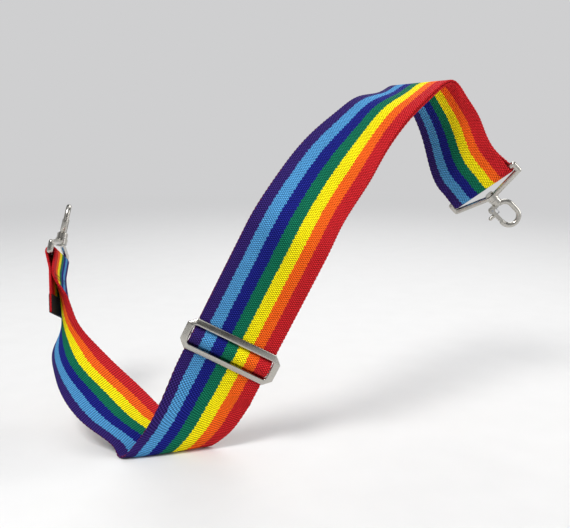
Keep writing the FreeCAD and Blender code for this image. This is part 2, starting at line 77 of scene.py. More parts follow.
# The floor: its height, its radius and where its middle lies along X.
GROUND = -127.0
FLOOR_RADIUS = 6000.0
FLOOR_MIDDLE = 150.0
# The weave: how far apart its picks are along the webbing, and its cords across it.
PICK = 1.32
CORD = 1.1
EDGE_SWELL = 0.36
# Rows of points lie ROW_STEP apart along the webbing. End rows nearer than SAME_ROW are one.
ROW_STEP = PICK / 3
SAME_ROW = 0.15
# Stitches: the thread's radius, how far their middles rise, how deep their ends sit, and how
# far apart they start.
THREAD_RADIUS = 0.24
STITCH_RISE = 0.16
STITCH_DEPTH = 0.06
STITCH_PITCH = 2.7

# The free stretches at rest: red edge, middle line and purple edge.
LOWER_ARM = [
    [(7, -36, -42), (-0.5, -20, -49), (-2.7, 3, -56)],
    [(14.8, -40, -59), (3.5, -31, -63), (-1.5, -9, -70)],
    [(27.5, -44, -74), (9.5, -45, -74), (-4.5, -28, -82)],
    [(40.5, -48, -86), (18.5, -58, -84), (0.5, -46, -90)],
    [(59.5, -54, -102), (34.5, -68, -97), (9.5, -63, -100)],
    [(81.5, -66, -117), (54.5, -78, -112), (29.5, -82, -113)],
    [(97.5, -74, -124), (71.5, -84, -123), (47.5, -91, -123)],
    [(102, -79, -126.2), (75, -88, -126.2), (50, -94, -126.2)],
    [(108.5, -81, -122), (78.5, -91, -124.5), (53.5, -97, -125)],
    [(118.2, -80.5, -113), (88.2, -88.5, -115), (60, -94, -119)],
    [(125.8, -79, -102), (96, -84, -103), (70.5, -88, -104)],
]
UPPER_ARM = [
    [(181.5, -69, 7), (161.5, -65.5, 20), (141.5, -62, 33)],
    [(198.5, -55, 32), (180.5, -43.5, 44.5), (162.5, -32, 57)],
    [(209.5, -44, 50), (195.5, -27.5, 61), (181.5, -11, 72)],
    [(224, -35, 68.5), (210, -15.5, 75), (196.5, 4, 81)],
    [(238, -26, 81.5), (224.5, -4.5, 83), (211.5, 17, 84)],
    [(256, -7, 90.5), (240.5, 13, 89), (225.5, 33, 87.5)],
    [(264.5, -6, 81), (251, 14.5, 76.5), (237.5, 35, 72)],
    [(274, -5.5, 67), (260.5, 13, 57), (247, 31.5, 47)],
]


class Place:
    """An origin with X across the webbing, to the red edge, and Z squared to it along it."""

    def __init__(self, origin, across, along):
        self.origin = np.array(origin, float)
        self.x = unit(np.array(across, float))
        along = np.array(along, float)
        self.z = unit(along - self.x * along.dot(self.x))
        self.y = np.cross(self.z, self.x)

    def at(self, x, y, z):
        x, y, z = (np.asarray(value, float)[..., None] for value in (x, y, z))
        return self.origin + self.x * x + self.y * y + self.z * z


def unit(vectors):
    return vectors / np.maximum(np.linalg.norm(vectors, axis=-1, keepdims=True), 1e-12)


joints = {joint["name"]: joint for joint in frame["joints"]}


def joint_place(tilt, swivel):
    """A hook's place: X along the hinge that tilts it and Z along its swivel."""
    origin = np.array(joints[swivel]["pos_m"]) * 1000
    return Place(origin, joints[tilt]["axis"], joints[swivel]["axis"])


left_hook = joint_place("hook_a_tilt", "hook_a_swivel")
left_webbing = Place(left_hook.origin, left_hook.x, (-0.069, 0.333, 0.94))
right_hook = joint_place("hook_b_tilt", "hook_b_swivel")
slider = Place((115.5, -80.2, -67), (0.893, 0, -0.45), joints["slider_slide"]["axis"])

# Columns across the webbing, in mm from the purple edge, close together at the two edges.
edge_columns = np.array([0.0, 0.06, 0.2, 0.42, 0.75])
COLUMNS = np.concatenate([edge_columns, np.linspace(1.4, WIDTH - 1.4, 18),
                          WIDTH - edge_columns[::-1]])
SHARE = COLUMNS / WIDTH


def spline_rows(stations, start, end):
    """Middle surface of webbing through stations, as rows of points across it.

    Each of the three edge lines is the C2 cubic through its points with clamped end slopes, in
    a shared parameter of summed chord ** 0.75. Across the width the surface is the parabola
    through the three lines.
    """
    points = np.array(stations, float)
    chords = np.linalg.norm(np.diff(points[:, 1], axis=0), axis=1)
    steps = chords ** 0.75
    knots = np.concatenate([[0.0], np.cumsum(steps)])
    count = len(points)
    matrix = np.zeros((count, count))
    right = np.zeros((count, 3, 3))
    slope = np.diff(points, axis=0) / steps[:, None, None]
    matrix[0, 0] = matrix[-1, -1] = 1.0
    right[0] = np.asarray(start) * chords[0] / steps[0]
    right[-1] = np.asarray(end) * chords[-1] / steps[-1]
    inner = np.arange(1, count - 1)
    matrix[inner, inner - 1] = steps[1:]
    matrix[inner, inner] = 2 * (steps[:-1] + steps[1:])
    matrix[inner, inner + 1] = steps[:-1]
    right[1:-1] = 3 * (steps[1:, None, None] * slope[:-1] + steps[:-1, None, None] * slope[1:])
    slopes = np.linalg.solve(matrix, right.reshape(count, 9)).reshape(count, 3, 3)

    parts = [
        np.linspace(low, high, max(2, round(chord / ROW_STEP)), endpoint=False)
        for low, high, chord in zip(knots, knots[1:], chords)
    ]
    at = np.concatenate(parts + [knots[-1:]])
    span = np.clip(np.searchsorted(knots, at, side="right") - 1, 0, count - 2)
    width = steps[span][:, None, None]
    t = ((at - knots[span]) / steps[span])[:, None, None]
    lines = (
        points[span] * (1 + 2 * t) * (1 - t) ** 2 + slopes[span] * width * t * (1 - t) ** 2
        + points[span + 1] * t ** 2 * (3 - 2 * t) + slopes[span + 1] * width * t ** 2 * (t - 1)
    )
    red, middle, purple = (lines[:, None, number] for number in range(3))
    s = SHARE[None, :, None]
    return (purple * (1 - s) * (1 - 2 * s) + middle * 4 * s * (1 - s) + red * s * (2 * s - 1))


def belt_rows(place, wraps, spacing=ROW_STEP):
    """Middle surface of webbing wrapped in a place's YZ plane.

    Each wrap is (y, z, left): a centre, and how far to its left the middle line passes. Runs
    are tangent lines and the turns between them are arcs about the centres, or plain corners
    where the line passes through the centre.
    """
    headings = []
    for (y1, z1, left1), (y2, z2, left2) in zip(wraps, wraps[1:]):
        distance = math.hypot(y2 - y1, z2 - z1)
        headings.append(math.atan2(z2 - z1, y2 - y1) - math.asin((left1 - left2) / distance))
    path = []
    for number, heading in enumerate(headings):
        ends = []
        for y, z, left in wraps[number:number + 2]:
            ends.append((y - left * math.sin(heading), z + left * math.cos(heading)))
        (y1, z1), (y2, z2) = ends
        count = max(1, round(math.hypot(y2 - y1, z2 - z1) / spacing))
        share = np.arange(count) / count
        path.append(np.stack([y1 + (y2 - y1) * share, z1 + (z2 - z1) * share], axis=1))
        if number + 1 < len(headings) and wraps[number + 1][2]:
            y, z, left = wraps[number + 1]
            turn = headings[number + 1] - heading
            if left > 0 and turn > 0:
                turn -= 2 * math.pi
            if left < 0 and turn < 0:
                turn += 2 * math.pi
            count = max(3, round(abs(turn * left) / spacing))
            angle = heading + turn * np.arange(count) / count
            path.append(np.stack([y - left * np.sin(angle), z + left * np.cos(angle)], axis=1))
    path = np.concatenate(path + [np.array([[y2, z2]])])
    across = (SHARE - 0.5) * WIDTH
    return place.at(across[None, :], path[:, :1], path[:, 1:])


def normals_of(rows):
    """Unit normals of a surface given as rows: along it crossed with across it, to the red."""
    return unit(np.cross(np.gradient(rows, axis=0), np.gradient(rows, axis=1)))


def run_along(rows):
    """How far along the middle line each row lies, in mm."""
    lengths = np.linalg.norm(np.diff(rows[:, len(COLUMNS) // 2], axis=0), axis=1)
    return np.concatenate([[0.0], np.cumsum(lengths)])


def join_rows(*parts):
    """Stretches one after the other, without doubling the row they share."""
    kept = [parts[0]]
    for part in parts[1:]:
        near = np.linalg.norm(part[0, :1] - kept[-1][-1, :1]) < SAME_ROW
        kept.append(part[1:] if near else part)
    return np.concatenate(kept)


def mesh_object(name, vertices, faces, material):
    """A mesh object in metres from vertices in millimetres."""
    mesh = bpy.data.meshes.new(name)
    mesh.from_pydata((np.asarray(vertices) / 1000).tolist(), [], faces)
    mesh.polygons.foreach_set("use_smooth", np.ones(len(mesh.polygons), bool))
    mesh.materials.append(material)
    piece = bpy.data.objects.new(name, mesh)
    bpy.context.scene.collection.objects.link(piece)
    return piece


def webbing(name, rows, material, thick=THICK, edge=0.55):
    """Closed webbing about a middle surface, with rounded edges and a UV map in millimetres.

    Its faces lie h = thick / 2 to each side of the surface. At d from an edge, where d is less
    than edge, that is h * sqrt(1 - ((edge - d) / edge) ** 2), and never under h / 10. The edges
    stand EDGE_SWELL * (|sin(pi v / (2 pick))| - 1/2) mm out, as the weft turns back there.
    U runs from the purple edge to the red one and V along the webbing.
    """
    normals = normals_of(rows)
    along = run_along(rows)
    swell = EDGE_SWELL * (np.abs(np.sin(math.pi * along / PICK / 2)) - 0.5)
    outward = np.clip((COLUMNS - WIDTH + 1) / 0.8, 0, 1) - np.clip((1 - COLUMNS) / 0.8, 0, 1)
    widthways = unit(np.gradient(rows, axis=1))
    rows = rows + widthways * (swell[:, None] * outward[None, :])[..., None]
    from_edge = np.minimum(COLUMNS, WIDTH - COLUMNS)
    inside = np.clip((edge - from_edge) / edge, 0, 1)
    half = thick / 2 * np.sqrt(np.maximum(1 - inside ** 2, 0.01))
    top = rows + normals * half[None, :, None]
    bottom = rows - normals * half[None, :, None]
    ring = np.concatenate([top, bottom[:, ::-1]], axis=1)
    count, around = ring.shape[:2]
    across = np.concatenate([COLUMNS, COLUMNS[::-1]])
    row, column = np.meshgrid(np.arange(count - 1), np.arange(around), indexing="ij")
    after = (column + 1) % around
    quads = np.stack([row * around + column, row * around + after,
                      (row + 1) * around + after, (row + 1) * around + column], axis=-1)
    quads = quads.reshape(-1, 4)
    step = np.arange(len(COLUMNS) - 1)
    cap = np.stack([step, 2 * len(COLUMNS) - 1 - step,
                    2 * len(COLUMNS) - 2 - step, step + 1], axis=-1)
    far = cap[:, ::-1] + (count - 1) * around
    faces = np.concatenate([quads[:, ::-1], cap[:, ::-1], far[:, ::-1]])
    piece = mesh_object(name, ring.reshape(-1, 3), faces.tolist(), material)
    layer = piece.data.uv_layers.new(name="weave")
    corner = np.empty(len(piece.data.loops), dtype=np.int64)
    piece.data.loops.foreach_get("vertex_index", corner)
    uv = np.stack([across[corner % around], along[corner // around]], axis=1)
    layer.data.foreach_set("uv", uv.ravel())
    return piece, float(along[-1])


def sewing(name, rows, side, lines, lift=THICK / 2):
    """A row of stitches for each line over a webbing's surface, as one mesh of short threads.

    A line is two (u, v) ends in mm, from the purple edge and along the webbing. A thread lies
    over t from -1 to 1: its middle stands rise * (1 - t ** 2) - depth above the face, and its
    radius is that of the thread times sqrt(1 - 0.85 * t ** 2).
    """
    normals = normals_of(rows) * side
    along = run_along(rows)
    starts, ends = [], []
    for first, last in lines:
        first, last = np.array(first, float), np.array(last, float)
        count = max(1, round(np.linalg.norm(last - first) / STITCH_PITCH))
        share = np.arange(count)[:, None] / count
        starts.append(first + (last - first) * (share + 0.1 / count))
        ends.append(first + (last - first) * (share + 0.88 / count))
    starts, ends = np.concatenate(starts), np.concatenate(ends)
    t = np.linspace(-1, 1, 9)
    uv = starts[:, None] + (ends - starts)[:, None] * ((t + 1) / 2)[None, :, None]
    row = np.interp(uv[..., 1], along, np.arange(len(along)))
    column = np.interp(uv[..., 0], COLUMNS, np.arange(len(COLUMNS)))
    low_row = np.minimum(row.astype(int), len(along) - 2)
    low_column = np.minimum(column.astype(int), len(COLUMNS) - 2)
    a, b = (row - low_row)[..., None], (column - low_column)[..., None]

    def sample(grid):
        near = grid[low_row, low_column] * (1 - b) + grid[low_row, low_column + 1] * b
        far = grid[low_row + 1, low_column] * (1 - b) + grid[low_row + 1, low_column + 1] * b
        return near * (1 - a) + far * a

    up = unit(sample(normals))
    centre = sample(rows) + up * (lift - STITCH_DEPTH + STITCH_RISE * (1 - t ** 2))[None, :, None]
    forward = unit(np.gradient(centre, axis=1))
    out = np.cross(up, forward)
    radius = (THREAD_RADIUS * np.sqrt(1 - 0.85 * t ** 2))[None, :, None, None]
    angle = np.linspace(0, 2 * math.pi, 8, endpoint=False)[None, None, :, None]
    ring = centre[:, :, None] + radius * (out[:, :, None] * np.cos(angle)
                                          + up[:, :, None] * np.sin(angle))
    stitches, steps, around = ring.shape[:3]
    base = np.arange(stitches)[:, None, None] * steps * around
    step = np.arange(steps - 1)[None, :, None] * around
    corner = np.arange(around)[None, None, :]
    after = (corner + 1) % around
    quads = np.stack([base + step + corner, base + step + around + corner,
                      base + step + around + after, base + step + after], axis=-1)
    near_caps = base[:, 0] + np.arange(around)[None, :]
    far_caps = base[:, 0] + (steps - 1) * around + np.arange(around)[::-1][None, :]
    faces = quads.reshape(-1, 4).tolist() + near_caps.tolist() + far_caps.tolist()
    piece = mesh_object(name, ring.reshape(-1, 3), faces, THREAD)
    return piece


# Materials -----------------------------------------------------------------------------------

def fill_ramp(ramp, stops):
    """Give a colour ramp its stops, each a place from 0 to 1 and a colour."""
    while len(ramp.elements) < len(stops):
        ramp.elements.new(0.5)
    for element, (place, colour) in zip(ramp.elements, stops):
        element.position = place
        element.color = colour


class Nodes:
    """Short calls for building a node material."""

    def __init__(self, name):
        self.material = bpy.data.materials.new(name)
        self.material.use_nodes = True
        self.tree = self.material.node_tree
        self.shader = self.tree.nodes["Principled BSDF"]

    def add(self, kind, **settings):
        node = self.tree.nodes.new(kind)
        for key, value in settings.items():
            setattr(node, key, value)
        return node

    def link(self, source, target):
        self.tree.links.new(source, target)

    def put(self, value, socket):
        if hasattr(value, "is_output"):
            self.link(value, socket)
        else:
            socket.default_value = value

    def math(self, operation, a, b=0.0, c=0.0):
        node = self.add("ShaderNodeMath", operation=operation)
        for value, socket in zip((a, b, c), node.inputs):
            self.put(value, socket)
        return node.outputs[0]

    def clamp(self, value):
        return self.math("MINIMUM", self.math("MAXIMUM", value, 0.0), 1.0)

    def mix(self, share, a, b):
        node = self.add("ShaderNodeMix", data_type="RGBA")
        for value, socket in ((share, node.inputs[0]), (a, node.inputs[6]), (b, node.inputs[7])):
            self.put(value, socket)
        return node.outputs[2]

    def noise(self, vector, scale, detail=2.0, rough=0.5):
        node = self.add("ShaderNodeTexNoise")
        self.put(vector, node.inputs["Vector"])
        node.inputs["Scale"].default_value = scale
        node.inputs["Detail"].default_value = detail
        node.inputs["Roughness"].default_value = rough
        return node.outputs["Fac"]

    def bands(self, value, stops):
        node = self.add("ShaderNodeValToRGB")
        node.color_ramp.interpolation = "CONSTANT"
        fill_ramp(node.color_ramp, stops)
        self.put(value, node.inputs[0])
        return node.outputs[0]

    def bump(self, height, strength, distance):
        node = self.add("ShaderNodeBump")
        node.inputs["Strength"].default_value = strength
        node.inputs["Distance"].default_value = distance
        self.put(height, node.inputs["Height"])
        self.link(node.outputs[0], self.shader.inputs["Normal"])


def linear(red, green, blue):
    """A display colour of 0 to 255 as linear light."""
    values = np.array([red, green, blue]) / 255
    values = np.where(values <= 0.04045, values / 12.92, ((values + 0.055) / 1.055) ** 2.4)
    return (*values.tolist(), 1.0)


# Width in mm and colour of each stripe, from the purple edge to the red one.
STRIPES = [
    (0.35, linear(84, 22, 66)),
    (6.45, linear(46, 28, 100)),
    (7.1, linear(76, 146, 198)),
    (7.0, linear(18, 26, 122)),
    (7.2, linear(4, 108, 78)),
    (7.1, linear(246, 228, 4)),
    (6.5, linear(246, 98, 20)),
    (8.3, linear(196, 30, 36)),
]


def striped_webbing():
    """Warp-striped polyester: colour by U, and warp floats by U and V in millimetres.

    The dimples between floats lie at the peaks of cos(pi u / cord) cos(2 pi v / pick), so every
    other column of them is half a step along. They carry painted shade, as the weave's hollows
    would be shaded, each as deep as its own random number says. The floats' crowns, at the same
    function's lows, carry a painted highlight: paler, and mixed towards a pale grey as a sheen.
    The cords' ribs are painted a little lighter than their grooves. The stripes' borders step
    with the picks.
    """
    nodes = Nodes("striped_webbing")
    uv = nodes.add("ShaderNodeUVMap", uv_map="weave")
    split = nodes.add("ShaderNodeSeparateXYZ")
    nodes.link(uv.outputs[0], split.inputs[0])
    u, v = split.outputs[0], split.outputs[1]

    def wave(kind, value, step):
        return nodes.math(kind, nodes.math("MULTIPLY", value, 2 * math.pi / step))

    def cell_random(*values):
        cell = nodes.add("ShaderNodeCombineXYZ")
        for value, socket in zip(values, cell.inputs):
            nodes.link(nodes.math("FLOOR", value), socket)
        noise = nodes.add("ShaderNodeTexWhiteNoise", noise_dimensions="3D")
        nodes.link(cell.outputs[0], noise.inputs["Vector"])
        return noise.outputs["Value"]

    loose = nodes.math("MULTIPLY_ADD", nodes.noise(uv.outputs[0], 0.35, 2.0), 1.6, v)
    tooth = nodes.math("MULTIPLY", nodes.math("SIGN", wave("SINE", loose, 2 * PICK)), 0.2)
    pick_random = cell_random(nodes.math("DIVIDE", v, PICK), nodes.math("DIVIDE", u, 4.0))
    step = nodes.math("MULTIPLY_ADD", pick_random, 0.44, -0.22)
    serrated = nodes.math("ADD", u, nodes.math("ADD", tooth, step))
    edges = np.cumsum([0.0] + [width for width, tone in STRIPES])
    stops = [(edge / edges[-1], tone) for edge, (width, tone) in zip(edges, STRIPES)]
    colour = nodes.bands(nodes.math("DIVIDE", serrated, WIDTH), stops)

    dimple = nodes.math("MULTIPLY", wave("COSINE", u, 2 * CORD), wave("COSINE", v, PICK))
    cord = wave("COSINE", u, CORD)
    # Painted shade: a random strength for the shade in each dimple.
    hollow_shade_random = cell_random(nodes.math("MULTIPLY_ADD", u, 1 / CORD, 0.5),
                              nodes.math("MULTIPLY_ADD", v, 2 / PICK, 0.5))
    stretched = nodes.add("ShaderNodeVectorMath", operation="MULTIPLY")
    nodes.link(uv.outputs[0], stretched.inputs[0])
    stretched.inputs[1].default_value = (1.0, 0.22, 1.0)
    yarn = nodes.noise(stretched.outputs[0], 5.0, 2.0, 0.6)
    coordinates = nodes.add("ShaderNodeTexCoord")
    cloud = nodes.noise(coordinates.outputs["Object"], 60.0, 4.0)
    # Painted shade in the dimples between floats, each at its own random strength.
    hollow_shade = nodes.clamp(nodes.math("MULTIPLY_ADD", dimple, 1.8, -0.4))
    hollow_shade = nodes.math("MULTIPLY", hollow_shade, nodes.math("MULTIPLY_ADD", hollow_shade_random, 0.6, 0.4))
    # Painted highlight on the floats' crowns, streaked by the yarn noise.
    crown_highlight = nodes.clamp(nodes.math("MULTIPLY_ADD", dimple, -1.6, -0.5))
    crown_highlight = nodes.math("MULTIPLY", crown_highlight, yarn)
    # Painted shade and highlight in this factor: lower in the dimples, higher on the crowns and
    # on the cords' ribs. The cloud and the yarn streaks add random tone.
    shade = nodes.math("MULTIPLY_ADD", dimple, -0.3, 0.92)
    for pattern, gain, level in ((crown_highlight, 1.3, 1.0), (cord, 0.08, 1.0), (cloud, 0.2, 0.9),
                                 (yarn, 0.6, 0.72)):
        share = nodes.math("MULTIPLY_ADD", pattern, gain, level)
        shade = nodes.math("MULTIPLY", shade, share)
    scaled = nodes.add("ShaderNodeVectorMath", operation="SCALE")
    nodes.link(colour, scaled.inputs[0])
    nodes.link(shade, scaled.inputs["Scale"])
    # Painted shade colour: the dimples are mixed towards near black.
    hollow_shade_colour = nodes.mix(hollow_shade, (1, 1, 1, 1), (0.1, 0.09, 0.13, 1))
    product = nodes.add("ShaderNodeVectorMath", operation="MULTIPLY")
    nodes.link(scaled.outputs[0], product.inputs[0])
    nodes.link(hollow_shade_colour, product.inputs[1])
    # Painted highlight: the crowns are mixed a little towards pale grey, as a sheen.
    sheen_highlighted = nodes.mix(nodes.math("MULTIPLY", crown_highlight, 0.1), product.outputs[0], (0.5, 0.5, 0.56, 1))
    nodes.link(sheen_highlighted, nodes.shader.inputs["Base Color"])
    nodes.shader.inputs["Roughness"].default_value = 0.8
    nodes.shader.inputs["Specular IOR Level"].default_value = 0.08
    height = nodes.math("MULTIPLY_ADD", dimple, -0.6, nodes.math("MULTIPLY", cord, 0.35))
    height = nodes.math("ADD", height, nodes.math("MULTIPLY", yarn, 0.5))
    nodes.bump(height, 0.8, 0.00022)
    return nodes.material


def plain_weave(name, colour, pitch):
    """A plain tape or thread: one colour with a fine crossing weave."""
    nodes = Nodes(name)
    coordinates = nodes.add("ShaderNodeTexCoord")
    split = nodes.add("ShaderNodeSeparateXYZ")
    nodes.link(coordinates.outputs["Object"], split.inputs[0])
    factor = 2 * math.pi / pitch
    first = nodes.math("SINE", nodes.math("MULTIPLY", split.outputs[1], factor))
    second = nodes.math("SINE", nodes.math("MULTIPLY", split.outputs[2], factor))
    weave = nodes.math("MULTIPLY", first, second)
    fuzz = nodes.noise(coordinates.outputs["Object"], 1800.0, 3.0, 0.7)
    # Painted highlight: the colour is mixed towards a paler one where the weave's crossings rise.
    # The fuzz adds random paler tone.
    light = tuple(min(1.0, channel * 1.7 + 0.004) for channel in colour[:3]) + (1.0,)
    share = nodes.math("MULTIPLY_ADD", weave, 0.25, nodes.math("MULTIPLY", fuzz, 0.8))
    nodes.link(nodes.mix(share, colour, light), nodes.shader.inputs["Base Color"])
    nodes.shader.inputs["Roughness"].default_value = 0.85
    nodes.shader.inputs["Specular IOR Level"].default_value = 0.15
    nodes.shader.inputs["Sheen Weight"].default_value = 0.03
    nodes.bump(nodes.math("ADD", weave, fuzz), 0.5, 0.00008)
    return nodes.material


def satin_metal(name, colour, roughness):
    """A satin finish on metal: streaked roughness, soft blotches and fine rubbed scratches."""
    nodes = Nodes(name)
    coordinates = nodes.add("ShaderNodeTexCoord")
    stretch = nodes.add("ShaderNodeMapping")
    stretch.inputs["Scale"].default_value = (1.0, 1.0, 7.0)
    nodes.link(coordinates.outputs["Object"], stretch.inputs[0])
    blotch = nodes.noise(coordinates.outputs["Object"], 180.0, 4.0, 0.6)
    streak = nodes.noise(stretch.outputs[0], 900.0, 3.0, 0.55)
    tint = nodes.mix(blotch, tuple(channel * 0.86 for channel in colour[:3]) + (1.0,), colour)
    nodes.link(tint, nodes.shader.inputs["Base Color"])
    nodes.shader.inputs["Metallic"].default_value = 1.0
    rough = nodes.math("MULTIPLY_ADD", streak, 0.14, roughness - 0.07)
    rough = nodes.math("ADD", rough, nodes.math("MULTIPLY_ADD", blotch, 0.12, -0.06))
    nodes.link(rough, nodes.shader.inputs["Roughness"])
    nodes.bump(nodes.math("ADD", streak, nodes.math("MULTIPLY", blotch, 0.5)), 0.12, 0.00006)
    return nodes.material


WEBBING = striped_webbing()
TAPE = plain_weave("black_tape", linear(22, 21, 24), 0.0009)
THREAD = plain_weave("black_thread", linear(30, 29, 32), 0.0005)
NICKEL = satin_metal("satin_nickel", linear(190, 187, 180), 0.26)
STEEL = satin_metal("plain_steel", linear(176, 177, 180), 0.36)

# Webbing -------------------------------------------------------------------------------------


def edge_points(place, y, z):
    """The red edge, middle line and purple edge of webbing that crosses a place squarely."""
    return place.at(np.array([WIDTH / 2, 0, -WIDTH / 2]), y, z)


merge = (HALF_LAYER + MERGE_RADIUS, 1 - LOOP_LENGTH, -MERGE_RADIUS)
loop_wraps = [
    (-HALF_LAYER, -LOOP_LENGTH, 0.0),
    (-merge[0], merge[1], merge[2]),
    (0.0, 0.0, BAR_WRAP),
    merge,
    (HALF_LAYER, -LOOP_LENGTH, 0.0),
]
tail_wraps = [(-HALF_LAYER, TAIL_END, 0.0)] + loop_wraps[1:]

loop_piece, loop_run = webbing("webbing_loop_a", belt_rows(left_webbing, tail_wraps), WEBBING)
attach(loop_piece, "strap")
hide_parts("webbing_hook_a_loop")

SEAM = -9.0
lower_stations = (
    [edge_points(left_webbing, HALF_LAYER, -LOOP_LENGTH)]
    + [np.array(points, float) for points in LOWER_ARM]
    + [edge_points(slider, MAIN, -STRAIGHT_BELOW)]
)
lower_rows = join_rows(
    spline_rows(lower_stations, -left_webbing.z, slider.z),
    belt_rows(slider, [(MAIN, -STRAIGHT_BELOW, 0.0), (MAIN, SEAM, 0.0)]),
)
lower_piece, lower_run = webbing("webbing_lower", lower_rows, WEBBING)

upper_stations = (
    [edge_points(slider, MAIN, STRAIGHT_ABOVE)]
    + [np.array(points, float) for points in UPPER_ARM]
    + [edge_points(right_hook, -HALF_LAYER, -LOOP_LENGTH)]
)
front_rows = spline_rows(upper_stations, slider.z, right_hook.z)
back_rows = front_rows + normals_of(front_rows) * 2 * HALF_LAYER
upper_rows = join_rows(
    belt_rows(slider, [
        (MAIN, SEAM, 0.0),
        (0.0, -WINDOW_EDGE, -MAIN),
        (BAR_INSET, 0.0, WAVE_WRAP),
        (0.0, WINDOW_EDGE, -MAIN),
        (MAIN, WAVE_REACH, 0.0),
        (MAIN, STRAIGHT_ABOVE, 0.0),
    ]),
    front_rows,
    belt_rows(right_hook, loop_wraps),
    back_rows[::-1],
    belt_rows(slider, [
        (SECOND, STRAIGHT_ABOVE, 0.0),
        (SECOND + BEND, STRAIGHT_ABOVE - BEND_INSET, -BEND),
        (THIRD - BEND, SEWN_END + BEND_INSET, BEND),
        (THIRD, SEWN_END, 0.0),
        (0.0, WINDOW_EDGE, THIRD),
        (BAR_INSET, 0.0, SEWN_WRAP),
        (0.0, WINDOW_EDGE, -SECOND),
        (SECOND, SEWN_END, 0.0),
    ]),
)
upper_piece, upper_run = webbing("webbing_upper", upper_rows, WEBBING)
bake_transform(lower_piece)
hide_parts("webbing_lower_arm")
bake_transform(upper_piece)
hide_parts("webbing_front_lower", "webbing_front_layer", "webbing_hook_b_loop",
            "webbing_return_upper", "webbing_return_lower", "webbing_sewn_end",
            "webbing_over_centre_bar")

fold_y = -HALF_LAYER
fold = (THICK + TAPE_THICK) / 2
tape_rows = belt_rows(left_webbing, [
    (fold_y - fold, TAIL_END + TAPE_REACH, 0.0),
    (fold_y, TAIL_END + TAPE_INSET, -fold),
    (fold_y + fold, TAIL_END + TAPE_REACH, 0.0),
], 0.25)
tape_piece, tape_run = webbing("binding_tape", tape_rows, TAPE, TAPE_THICK, 0.12)
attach(tape_piece, "strap")
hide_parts("tail_end_binding")

# Sewing: two rows across under the left hook's bar, one along the tape, and a crossed box on
# the back of the end that is sewn round the slider's bar.
tail_rows = belt_rows(left_webbing, tail_wraps)
seam_rows = (1.4, 3.4)
bar_rows = [((2, TAIL_LENGTH - v), (WIDTH - 2, TAIL_LENGTH - v)) for v in seam_rows]
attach(sewing("tail_stitches", tail_rows, -1, bar_rows), "strap")
arm_rows = [((2, v), (WIDTH - 2, v)) for v in seam_rows]
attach(sewing("arm_stitches", lower_rows, -1, arm_rows), "strap")
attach(sewing("tape_stitches", tail_rows, -1, [((1.5, 10.4), (WIDTH - 1.5, 10.4))],
               THICK / 2 + TAPE_THICK), "strap")
left, right, near, far = 4.0, WIDTH - 4.0, 2.0, 20.0
box_corners = [(left, near), (right, near), (right, far), (left, far)]
box_lines = list(zip(box_corners, box_corners[1:] + box_corners[:1]))
box_lines += [(box_corners[0], box_corners[2]), (box_corners[1], box_corners[3])]
end_rows = belt_rows(slider, [(THIRD, SEWN_END, 0.0), (THIRD, 10.0, 0.0)])
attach(sewing("end_stitches", end_rows, -1, box_lines), "slider")

print("webbing run, mm:", round(loop_run + lower_run + upper_run, 1), "tape", round(tape_run, 1))

# Metal ---------------------------------------------------------------------------------------


def slider_plate():
    """The slider's plate, with its front worked to a crest round the window.

    Its section is carried round the frame: at w from 0, the window's edge, to 1, the rim, each
    point lies w of the way from the window's outline, a rectangle with rounded corners, to the
    rim's, a rectangle with cut corners.
    """
    half_x, half_z, cut = 30.0, 10.0, 4.5
    window_x, window_z, radius = 25.5, 6.0, 1.6
    turn = np.linspace(0, math.pi / 2, 9)
    ease = np.linspace(0, 1, 9)
    corner_in = np.stack([window_x - radius + radius * np.cos(turn),
                          window_z - radius + radius * np.sin(turn)], axis=1)
    corner_out = np.stack([half_x - cut * ease, half_z - cut + cut * ease], axis=1)
    outlines = []
    for corner in (corner_in, corner_out):
        quarters = []
        for x_sign, z_sign, order in ((1, 1, 1), (-1, 1, -1), (-1, -1, 1), (1, -1, -1)):
            quarters.append((corner * (x_sign, z_sign))[::order])
        outlines.append(np.concatenate(quarters))
    inner, outer = (outline[:, None] for outline in outlines)
    section = np.array([
        (0.0, -0.12), (0.0, -1.95), (0.015, -2.15), (0.05, -2.35), (0.1, -2.48), (0.16, -2.55),
        (0.22, -2.57), (0.28, -2.54), (0.34, -2.46), (0.6, -1.92), (0.86, -1.38), (0.91, -1.25),
        (0.95, -1.12), (0.985, -0.98), (1.0, -0.85), (1.0, -0.3), (0.985, -0.12), (0.95, -0.03),
        (0.9, 0.0), (0.06, 0.0), (0.02, -0.04),
    ])
    w, depth = section[None, :, :1], section[None, :, 1]
    flat = inner + (outer - inner) * w
    vertices = slider.at(flat[..., 0], np.broadcast_to(depth, flat.shape[:2]), flat[..., 1])
    count, around = vertices.shape[:2]
    row, column = np.meshgrid(np.arange(count), np.arange(around), indexing="ij")
    after, next_row = (column + 1) % around, (row + 1) % count
    faces = np.stack([row * around + column, row * around + after,
                      next_row * around + after, next_row * around + column], axis=-1)
    return mesh_object("slider_plate", vertices.reshape(-1, 3),
                       faces.reshape(-1, 4)[:, ::-1].tolist(), NICKEL)


plate = slider_plate()
plate.data.set_sharp_from_angle(angle=math.radians(50))
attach(plate, "slider")
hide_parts("slider_frame")

for name, node in frame["nodes"].items():
    if name.startswith("webbing") or name in ("tail_end_binding", "slider_frame"):
        continue
    plain = name.endswith(("gate_pin", "gate_spring"))
    node.data.materials.clear()
    node.data.materials.append(STEEL if plain else NICKEL)
    node.data.polygons.foreach_set("use_smooth", [True] * len(node.data.polygons))
    node.data.set_sharp_from_angle(angle=math.radians(32))

# Floor, light and camera ---------------------------------------------------------------------


HAZE = linear(207, 207, 208)


